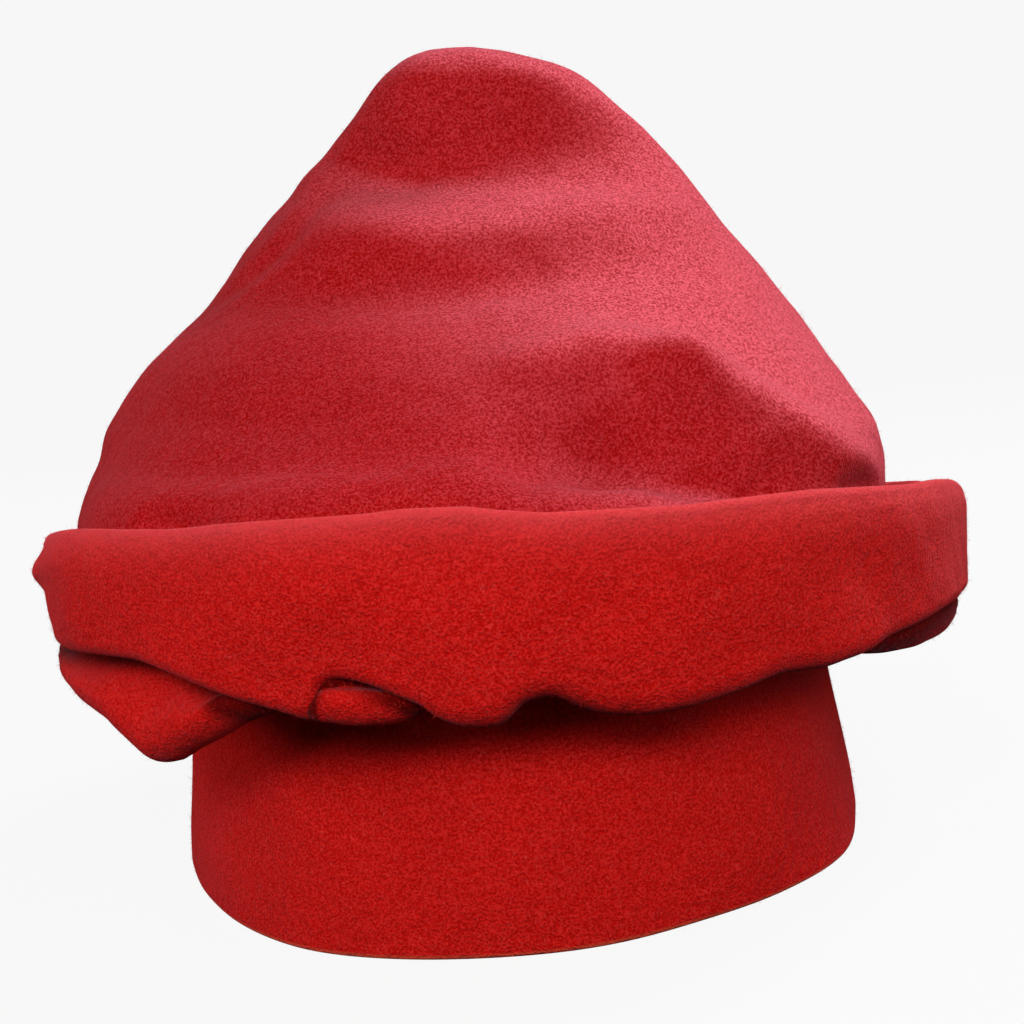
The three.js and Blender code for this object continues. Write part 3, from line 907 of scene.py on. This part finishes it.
@dataclass
class HeadBand(FeltShell):
    """The smooth tube from the hidden seam down to the open rim."""

    rim_round: float = 1.1
    rim_bulges: tuple = ((-36, 20, 3), (3, 14, 0.6), (24, 11, -2), (50, 16, 2.4))

    def place(self, bearing: np.ndarray, height: float, outset: float) -> np.ndarray:
        """Places a ring of the band.

        Args:
            bearing: Radians round from the front.
            height: Share of the seam's height.
            outset: How far outside the band's outer face it lies.

        Returns:
            The ring in millimetres.
        """
        drawn = float(smooth_read(BAND_SECTIONS, np.array([max(height, 0.0)]), 1)[0])
        half = tuple(rim + (seam - rim) * drawn for rim, seam in zip(RIM_HALF, SEAM_HALF))
        x, y = band_oval(bearing, half, outset)
        ring = np.stack([x, y, height * (SEAM_HEIGHT + lean(x, y))], -1)
        degrees = np.degrees(bearing)
        push = ripples(ring, 5, 42.0, 0.35)
        for middle, spread, reach in self.rim_bulges:
            push = push + reach * np.exp(-(((degrees - middle) / spread) ** 2)) * (1 - height) ** 2
        return ring + unit(ring * (1, 1, 0)) * push[:, None]

    def rings(self) -> tuple[np.ndarray, np.ndarray, slice]:
        """Lays the rings from the outer rim up, over the top and down the inside.

        Returns:
            The rings, the paler cut edge of the rim as the edge mark, and the rows of the outer face.
        """
        around = bearings(self.front, self.back)
        turn = np.linspace(0, math.pi / 2, 5)
        share = self.rim_round / SEAM_HEIGHT
        rim = [(share * (1 - math.cos(k)), self.rim_round * (math.sin(k) - 1)) for k in turn]
        outside = [(h, 0.0) for h in np.linspace(share, 1, 80)[1:]]
        inside = [(h, -FELT) for h in np.linspace(1, share, 26)]
        under = [(h, -FELT - out) for h, out in rim[::-1]][1:]
        rows = rim + outside + inside + under
        made = [self.place(around, height, outset) for height, outset in rows]
        cut = np.array([float(h < share * 0.98) for h, _ in rows])
        made.append(made[0])
        cut = np.append(cut, cut[0])
        edge_and_painted_light = np.repeat(cut[:, None], len(around), 1)
        return np.array(made), edge_and_painted_light, slice(2, len(rim) + len(outside) - 8)


@dataclass
class Crown(FeltShell):
    """The baggy peaked cone that comes out of the top of the cuff."""

    folds: tuple = (
        Fold("hollow under the arch", ((7, 97, 0.5), (16, 99, 1), (26, 91, 1), (35, 81, 0.8)), 11.5, -12),
        Fold("top of the arch", ((0, 116, 0.2), (8, 120, 0.8), (19, 121.5, 1), (30, 116, 1)), 8.5, 4.2),
        Fold("side of the arch", ((30, 116, 1), (40, 104, 1), (49, 91, 0.9), (60, 83, 0.4)), 8, 4.4),
        Fold("middle hollow", ((-38, 142, 0.4), (-25, 140, 1), (-7, 137.5, 1), (10, 137.5, 0.7)), 10, -2.6),
        Fold("under the tip", ((-20, 165.8, 0.8), (6, 161.8, 1), (53, 156, 0.5)), 6, -1.2),
        Fold("shelf at the left", ((-64, 173, 0.5), (-45, 171, 1), (-18, 166, 0.7)), 6.5, -3.2),
        Fold("swell under the shelf", ((-60, 160, 0.4), (-38, 157, 1), (-16, 153, 0.6)), 8, 1.6),
        Fold("left crease", ((-40, 166, 0.2), (-51, 152.5, 1), (-63, 145, 1), (-76, 138, 0.3)), 4.5, -1.5),
        Fold("ridge by the crease", ((-53, 169.5, 0.3), (-58, 158, 1), (-64, 150, 0.5)), 4, 0.7),
        Fold("left flank", ((-63, 114, 0.8), (-31, 110.5, 1), (-13, 106, 0.6)), 15, -3),
        Fold("left pocket", ((-45, 81, 0.6), (-40, 80.5, 1), (-35, 80.5, 0.6)), 4, -3.4),
        Fold("right pocket", ((51, 81, 0.6), (56, 80.5, 1), (61, 80, 0.6)), 4, -2.6),
        Fold("back left hollow", ((-150, 130, 1), (-128, 100.5, 1)), 16, -5),
        Fold("back ridge", ((168, 154.5, 1), (150, 97.8, 1)), 13, 3.5),
        Fold("back right hollow", ((128, 127.5, 1), (116, 93.8, 1)), 15, -4.5),
    )
    span: tuple = (float(CROWN_SECTIONS[0, 0]), float(CROWN_SECTIONS[-1, 0]))
    crest: float = 0.93
    sections: np.ndarray = field(default_factory=lambda: rounded(CROWN_SECTIONS, 0.016))

    def plain(self, b: np.ndarray, h: np.ndarray) -> np.ndarray:
        """Places points of the crown without its folds.

        Args:
            b: Bearings in radians.
            h: Heights over the seam, as shares of the crown's height.

        Returns:
            The points in millimetres.
        """
        keys, *tables = self.sections.T
        left, right, front, back, share = (np.interp(h, keys, table) for table in tables)
        width, depth = CROWN_HALF
        x, y = oval(b, (width * left, width * right, depth * front, depth * back), CROWN_FULLNESS)
        return np.stack([x, y, SEAM_HEIGHT + h * CROWN_HEIGHT + share * lean(x, y)], -1)

    def folded(self, b: np.ndarray, h: np.ndarray) -> np.ndarray:
        """Places points of the outer face with its folds and unevenness.

        Args:
            b: Bearings in radians.
            h: Heights over the seam, as shares of the crown's height.

        Returns:
            The points in millimetres.
        """
        plain = self.plain(b, h)
        out = facing(self.plain, b, h, self.span, 0.01)
        push = ripples(plain, 11, 38.0, 0.3) + ripples(plain, 12, 12.0, 0.08)
        for fold in self.folds:
            push += fold.on(plain, self.plain)
        return plain + out * push[:, None]

    def rings(self) -> tuple[np.ndarray, np.ndarray, slice]:
        """Lays the rings from the hem up the outside to the tip and down the inside.

        Returns:
            The rings, an edge and shade mark that is zero all over, and the rows of the outer face.
        """
        around = bearings(self.front, self.back)
        sheets = []
        for count, felt in ((150, 0.0), (40, FELT)):
            side = np.linspace(self.span[0], self.crest, count)
            heights = np.concatenate([side, np.linspace(self.crest, self.span[1], count // 7)[1:]])
            b, h = (grid.reshape(-1) for grid in np.meshgrid(around, heights))
            sheet = self.folded(b, h)
            if felt:
                sheet = sheet - felt * facing(self.folded, b, h, self.span, 0.015)
            sheets.append(sheet.reshape(len(heights), len(around), 3))
        outer, inner = sheets
        hem_rows = ((-LAP_HEIGHT, 0.0), (-LAP_HEIGHT, FELT), (0.0, FELT))
        hems = [seam_ring(around, rise, LAP_GAP + out) for rise, out in hem_rows]
        tip = np.zeros((1, len(around), 3)) + (0, 0, SEAM_HEIGHT + CROWN_HEIGHT)
        inside = np.array([seam_ring(around, 0.0, LAP_GAP), hems[0]])
        made = np.concatenate([np.array(hems), outer, tip, tip - (0, 0, FELT), inner[::-1], inside])
        return made, np.zeros(made.shape[:2]), slice(len(hems), len(hems) + len(outer))


@dataclass
class Cuff(FeltShell):
    """The deep cuff, with a free edge at the top and a soft fold at the foot of its wall."""

    wall_rows: int = 70
    fold_rows: int = 16
    leg_rows: int = 10

    def foot(self, degrees: np.ndarray) -> Pair:
        """Returns the height of the felt's middle at the foot of the wall, and the fold's radius."""
        depth, turn = (smooth_read(CUFF_FOOT, degrees, k) for k in (1, 2))
        return SEAM_HEIGHT + CUFF_RISE - CUFF_DEPTH * depth + FELT / 2, turn

    def section(self, degrees: np.ndarray, inwards: np.ndarray) -> Pair:
        """Follows the felt's middle from its free edge down the wall, round the fold and in to the lap.

        Args:
            degrees: Bearings.
            inwards: Distance in to the lap at each bearing.

        Returns:
            Distance outwards and height in millimetres, as rows by bearings.
        """
        top, tip, waist = (smooth_read(CUFF_RIM, degrees, k) for k in (1, 2, 3))
        low, turn = self.foot(degrees)
        free = SEAM_HEIGHT + CUFF_RISE + CUFF_DEPTH * top - FELT / 2
        down = np.linspace(0, 1, self.wall_rows)[:, None]
        bent = tip * (1 - smooth_step(down, 0, 0.3)) + waist * smooth_step(down, 0.15, 0.55)
        wall_x = CUFF_SWAY * (smooth_read(CUFF_WALL, down, 1) - bent)
        wall_z = free + (low + turn - free) * down
        quarter = np.linspace(0, math.pi / 2, self.fold_rows)[1:, None]
        fold_x = wall_x[-1] - turn * (1 - np.cos(quarter))
        fold_z = wall_z[-1] - turn * np.sin(quarter)
        end_z = np.full_like(low, SEAM_HEIGHT - LAP_HEIGHT)
        dip = np.minimum(end_z - CUFF_TURN, (low + end_z) / 2)
        under = ((fold_x[-1] - inwards) / 2, low)
        leg_x, leg_z = sweep(((fold_x[-1], low), under, (-inwards, dip), (-inwards, end_z)), self.leg_rows)
        return np.concatenate([wall_x, fold_x, leg_x]), np.concatenate([wall_z, fold_z, leg_z])

    def sheet(self, around: np.ndarray, line: Pair, thick: np.ndarray) -> Callable[..., np.ndarray]:
        """Wraps a section round the hat.

        Args:
            around: Bearings in radians.
            line: Distances outwards and heights of the felt's middle, as rows by bearings.
            thick: Half the felt's thickness there.

        Returns:
            A function that gives the ring of a row, at shares of the half thickness out of the face and up.
        """
        out, height = line
        middle, outwards, _ = self.plan(around)
        row = np.arange(len(out))
        ahead, behind = np.minimum(row + 1, len(out) - 1), np.maximum(row - 1, 0)
        face = unit(np.stack([height[behind] - height[ahead], out[ahead] - out[behind]], -1))

        def ring(index: int, offset: float, crest: float = 0.0) -> np.ndarray:
            """Places one ring.

            Args:
                index: The row of the section.
                offset: Share of the half thickness out of the face.
                crest: Share of the half thickness up.

            Returns:
                The ring in millimetres.
            """
            away = out[index] + face[index, :, 0] * offset * thick[index]
            place = middle + outwards * away[:, None]
            rise = height[index] + (face[index, :, 1] * offset + crest) * thick[index]
            return np.column_stack([place, rise + lean(place[:, 0], place[:, 1])])

        return ring

    def plan(self, around: np.ndarray) -> tuple[np.ndarray, np.ndarray, np.ndarray]:
        """Places the cuff in plan.

        Args:
            around: Bearings in radians.

        Returns:
            The wall's middle, the way out to it from the lap, and the distance in to the lap.
        """
        width, depth = (outside - FELT / 2 for outside in CUFF_HALF)
        middle = np.stack(oval(around, (width, width, depth, depth), CUFF_FULLNESS), -1)
        outwards = middle - np.stack(band_oval(around, SEAM_HALF, 2 * LAP_GAP + FELT + FELT / 2), -1)
        return middle, unit(outwards), np.linalg.norm(outwards, axis=-1)

    def uneven(self, around: np.ndarray, height: np.ndarray) -> np.ndarray:
        """Works out the soft unevenness of the felt.

        Args:
            around: Bearings in radians.
            height: Heights, as rows by bearings.

        Returns:
            How far each place is pushed out.
        """
        middle = self.plan(around)[0]
        spot = np.stack([*np.broadcast_arrays(middle[:, 0], middle[:, 1], height)], -1).reshape(-1, 3)
        return (ripples(spot, 21, 36.0, 0.45) + ripples(spot, 22, 13.0, 0.12)).reshape(height.shape)

    def rings(self) -> tuple[np.ndarray, np.ndarray, slice]:
        """Lays the rings from the free edge down the outside, round the fold and up the inside.

        Returns:
            The rings, a mark with painted highlight at the top edge and painted shade under the fold, and the
            rows of the outer face.
        """
        around = bearings(self.front, self.back)
        out, height = self.section(np.degrees(around), self.plan(around)[2])
        rows = len(out)
        row = np.arange(rows)[:, None]
        out = out + self.uneven(around, height) * (1 - smooth_step(row, rows - 16, rows - 8))
        out[:, -1], height[:, -1] = out[:, 0], height[:, 0]
        down = np.where(row < self.wall_rows, height[:1] - height, 99.0)
        # Painted shade on the rows round the underside of the fold.
        painted_shade = smooth_step(row, self.wall_rows + 5, self.wall_rows + self.fold_rows - 3)
        # Painted highlight within a few millimetres of the free top edge.
        edge_and_painted_light = np.exp(-down / 3.2) - painted_shade
        ring = self.sheet(around, (out, height), FELT / 2 + 0.4 * np.exp(-down / 3.0))
        inner = list(range(rows - 1, -1, -3))
        crests = np.linspace(math.pi, 0, 7)[1:-1]
        made = [ring(k, 1.0) for k in range(rows)]
        made += [seam_ring(around, -CUFF_LAP_DROP, 2 * LAP_GAP + FELT + extra) for extra in (0.0, FELT)]
        made += [ring(k, -1.0) for k in inner]
        made += [ring(0, math.cos(k), math.sin(k)) for k in crests]
        made.append(made[0])
        # The rounded top edge takes the top row's painted highlight.
        edge = np.repeat(edge_and_painted_light[:1], len(crests) + 1, 0)
        marks = np.concatenate([edge_and_painted_light, 0 * edge_and_painted_light[:2], edge_and_painted_light[inner], edge])
        return np.array(made), marks, slice(-6, rows - 12)


@dataclass
class Lobe(Cuff):
    """A lobe of the cuff's felt that hangs out from a tuck behind the foot of the wall.

    Hidden is how far its sheet goes up behind the wall's lip, slack how far in its inner leg hangs from the
    outer one, and shade how far down from the lip its painted shade reaches, all in millimetres.
    """

    table: np.ndarray = field(default_factory=lambda: LEFT_LOBE)
    hidden: float = 6.0
    slack: float = 5.0
    shade: float = 7.6

    def section(self, degrees: np.ndarray, lip: np.ndarray) -> Pair:
        """Follows the felt's middle down the outside of the lobe, round its fold and up the inside.

        Args:
            degrees: Bearings.
            lip: Height of the foot of the wall at each bearing.

        Returns:
            Distance outwards and height in millimetres, as rows by bearings.
        """
        low, belly, back = (smooth_read(self.table, degrees, k) for k in (1, 2, 3))
        low = SEAM_HEIGHT + CUFF_RISE - CUFF_DEPTH * low + FELT / 2
        turn = np.clip(0.45 * (lip - low) + 0.3, 1.3, CUFF_TURN)
        fold = low + turn
        recess = np.maximum(np.maximum(lip - 3.6, lip + (low - lip) * 0.4), fold + 0.8)
        stops = [
            (-back, lip + self.hidden),
            (-back, lip + 1.5),
            (-back + 0.1 * (back + belly), recess),
            (belly - 0.12 * (back + belly), np.maximum(lip + (low - lip) * 0.62, fold + 0.4)),
            (belly, fold),
        ]
        line = spline(np.array([np.broadcast_arrays(x, z) for x, z in stops]), self.wall_rows)
        quarter = np.linspace(0, math.pi / 2, self.fold_rows)[1:, None]
        under = np.stack([belly - turn * (1 - np.cos(quarter)), fold - turn * np.sin(quarter)], 1)
        start, end = belly - turn, -back - self.slack
        ways = ((start, low), (start - self.slack, low), (end, lip), (end, lip + self.hidden))
        inside = sweep(ways, self.leg_rows)
        out, height = np.concatenate([line, under, np.stack(inside, 1)]).transpose(1, 0, 2)
        return out, height

    def rings(self) -> tuple[np.ndarray, np.ndarray, slice]:
        """Lays the rings down the outside, round the fold and up the inside, with closed ends.

        Returns:
            The rings, painted shade under the wall's lip and over the whole inside, and the rows of the outer
            face.
        """
        degrees = np.linspace(self.table[0, 0], self.table[-1, 0], self.front)
        around = np.radians(degrees)
        lip, _ = self.foot(degrees)
        out, height = self.section(degrees, lip)
        out = out + self.uneven(around, height)
        ring = self.sheet(around, (out, height), np.full_like(out, FELT / 2))
        made = [ring(k, 1.0) for k in range(len(out))]
        made += [ring(k, -1.0) for k in range(len(out) - 1, -1, -2)]
        made = np.array(made + made[:1])
        ends = [np.broadcast_to(made[:, k].mean(0), (len(made), 1, 3)) for k in (0, -1)]
        made = np.concatenate([ends[0], made, ends[1]], 1)
        # Painted shade: dark all over the inside and the hidden top, fading out down the outside below the
        # lip.
        painted_shade = -np.ones(made.shape[:2])
        painted_shade[: len(out), 1:-1] = -smooth_step(height, lip - self.shade, lip - self.shade / 2)
        return made, painted_shade, slice(0, self.wall_rows + self.fold_rows - 4)


@dataclass(frozen=True)
class Lamp:
    """A soft light that faces the middle of the hat, in metres and watts."""

    name: str
    place: tuple
    size: tuple
    power: float
    colour: tuple

    def add(self) -> None:
        """Hangs the lamp."""
        bpy.ops.object.light_add(type="AREA", location=self.place)
        made = bpy.context.object
        made.name = self.name
        made.data.shape = "RECTANGLE"
        made.data.size, made.data.size_y = self.size
        made.data.energy = self.power
        made.data.color = self.colour
        way = Vector((0, 0, 0.1)) - Vector(self.place)
        made.rotation_euler = way.to_track_quat("-Z", "Y").to_euler()


@dataclass
class Studio:
    """The pale floor, the soft light and the camera, in metres and degrees."""

    lamps: tuple = (
        Lamp("front_light", (0.0, -0.64, 0.36), (0.7, 0.12), 3.2, (1.0, 0.96, 0.9)),
        Lamp("left_light", (-0.95, -0.35, 0.36), (0.5, 0.4), 3.8, (1.0, 0.96, 0.9)),
        Lamp("right_light", (1.0, -0.5, 0.4), (0.5, 0.4), 2.9, (1.0, 0.97, 0.93)),
        Lamp("top_light", (0.64, 0.34, 0.85), (0.5, 0.5), 8.4, (0.95, 0.97, 1.0)),
        Lamp("back_light", (-0.75, 0.8, 0.5), (0.6, 0.4), 2.6, (1.0, 0.98, 0.95)),
    )
    sky_colour: tuple = (0.97, 0.98, 1.0, 1)
    sky_power: float = 0.14
    reach: float = 3.0
    flat: float = 1.3
    steepness: float = 1.6
    grey: float = 0.045
    glow_reach: tuple = (0.2, 1.9)
    glow: tuple = (0.91, 0.92)
    eye: tuple = (0.0032, -0.48, 0.145)
    tilt: float = 7.84
    roll: float = 6.0
    picture: float = 36.0
    focus: float = 1901 / 1024

    def floor(self) -> bpy.types.Object:
        """Makes the pale floor, which rises softly far from the hat on every side.

        Returns:
            The floor.
        """
        bpy.ops.object.select_all(action="DESELECT")
        bpy.ops.mesh.primitive_grid_add(x_subdivisions=96, y_subdivisions=96, size=2)
        floor = bpy.context.object
        floor.name = "floor"
        spots = np.empty(len(floor.data.vertices) * 3)
        floor.data.vertices.foreach_get("co", spots)
        spots = spots.reshape(-1, 3) * self.reach
        away = np.linalg.norm(spots[:, :2], axis=-1)
        spots[:, 2] = self.steepness * np.clip((away - self.flat) / (self.reach - self.flat), 0, None) ** 2
        floor.data.vertices.foreach_set("co", spots.reshape(-1))
        bpy.ops.object.shade_smooth()
        floor.data.materials.append(self.paper())
        return floor

    def paper(self) -> bpy.types.Material:
        """Builds the floor's matt paper, which looks evenly bright and throws back little of the red.

        Returns:
            The material.
        """
        paper = bpy.data.materials.new("pale_floor")
        paper.use_nodes = True
        nodes, links = paper.node_tree.nodes, paper.node_tree.links
        shader = next(n for n in nodes if n.type == "BSDF_PRINCIPLED")
        shader.inputs["Base Color"].default_value = (self.grey, self.grey, self.grey, 1)
        shader.inputs["Roughness"].default_value = 1.0
        shader.inputs["Specular IOR Level"].default_value = 0.0
        shader.inputs["Emission Color"].default_value = (1, 1, 1, 1)
        seen = nodes.new("ShaderNodeLightPath")
        glow = nodes.new("ShaderNodeMath")
        glow.operation = "MULTIPLY"
        place = nodes.new("ShaderNodeTexCoord")
        away = nodes.new("ShaderNodeVectorMath")
        away.operation = "LENGTH"
        level = nodes.new("ShaderNodeMapRange")
        spans = zip(("From Min", "From Max", "To Min", "To Max"), self.glow_reach + self.glow)
        for name, value in spans:
            level.inputs[name].default_value = value
        links.new(place.outputs["Object"], away.inputs[0])
        links.new(away.outputs["Value"], level.inputs["Value"])
        links.new(level.outputs[0], glow.inputs[1])
        links.new(seen.outputs["Is Camera Ray"], glow.inputs[0])
        links.new(glow.outputs[0], shader.inputs["Emission Strength"])
        return paper

    def light(self) -> None:
        """Sets the even white sky and hangs the lamps."""
        scene = bpy.context.scene
        scene.view_settings.view_transform = "Standard"
        scene.world = bpy.data.worlds.new("white_room")
        scene.world.use_nodes = True
        sky = scene.world.node_tree.nodes["Background"]
        sky.inputs["Color"].default_value = self.sky_colour
        sky.inputs["Strength"].default_value = self.sky_power
        for lamp in self.lamps:
            lamp.add()

    def camera(self) -> None:
        """Sets the camera at the photo's angle."""
        bpy.ops.object.camera_add(location=self.eye)
        made = bpy.context.object
        made.data.sensor_width = self.picture
        made.data.lens = self.picture * self.focus
        tilt = Euler((math.radians(90 - self.tilt), 0, 0)).to_matrix()
        made.rotation_euler = (tilt @ Matrix.Rotation(math.radians(-self.roll), 3, "Z")).to_euler()
        made.data.clip_start = 0.01
        bpy.context.scene.camera = made


def main() -> None:
    """Builds the studio and the hat."""
    logging.basicConfig(level=logging.INFO, format="%(name)s: %(message)s")
    studio = Studio()
    studio.camera()
    studio.floor()
    studio.light()
    grain, colour = felt_grain(), felt_colour()
    smooth = FeltFinish("smooth_red_felt")
    # The cuff's pink edge colour is a painted highlight along its top edge.
    turned = FeltFinish("turned_red_felt", edge=(0.75, 0.07, 0.085))
    # The crown's felt is a darker copy of the same felt with a pinker highlight: painted shade and painted
    # highlight.
    crown_painted_light_colours = {"deep": (0.19, 0.0008, 0.0006), "body": (0.46, 0.003, 0.003), "highlight_and_fleck_pink": (0.82, 0.12, 0.165)}
    crown_painted_light = FeltFinish("crown_felt_painted_light", fleck=0.14, **crown_painted_light_colours)
    fibre_dyes = {"body": (0.75, 0.022, 0.014), "highlight_and_fleck_pink": (0.8, 0.08, 0.08)}
    single = FeltFinish("red_wool_fibre", highlight_and_tone=0.5, sheen=0.0, grain_depth=0.00001, **fibre_dyes)
    fibre = single.material(grain, colour)
    cuff = ("turned_cuff", "red_felt_cuff", turned)
    lobe = {"back": 0, "leads": False}
    shells = (
        HeadBand("band_felt", "head_band", "red_felt_band", smooth, 250, 130, fibres=16000, seed=31),
        Crown("crown_felt", "crown", "red_felt_crown", crown_painted_light, 290, 150, fibres=30000, seed=32),
        # The cuff and the lobes take less of the painted pink highlight.
        Cuff("cuff_felt", *cuff, 420, 180, fibres=24000, seed=33, highlight_and_fleck_pink=0.6),
        Lobe("left_lobe_felt", *cuff, 200, **lobe, fibres=2600, seed=34, highlight_and_fleck_pink=0.3, wall_rows=44),
        Lobe("middle_lobe_felt", *cuff, 90, **lobe, fibres=500, seed=35, highlight_and_fleck_pink=0.3, wall_rows=40,
             table=MIDDLE_LOBE, shade=5.6),
        Lobe("right_lobe_felt", *cuff, 150, **lobe, fibres=1200, seed=36, highlight_and_fleck_pink=0.6, wall_rows=40,
             table=RIGHT_LOBE),
    )
    for shell in shells:
        for piece in shell.build(shell.finish.material(grain, colour), fibre):
            log.info("%s: %d faces", piece.name, len(piece.data.polygons))


if __name__ == "__main__":
    main()
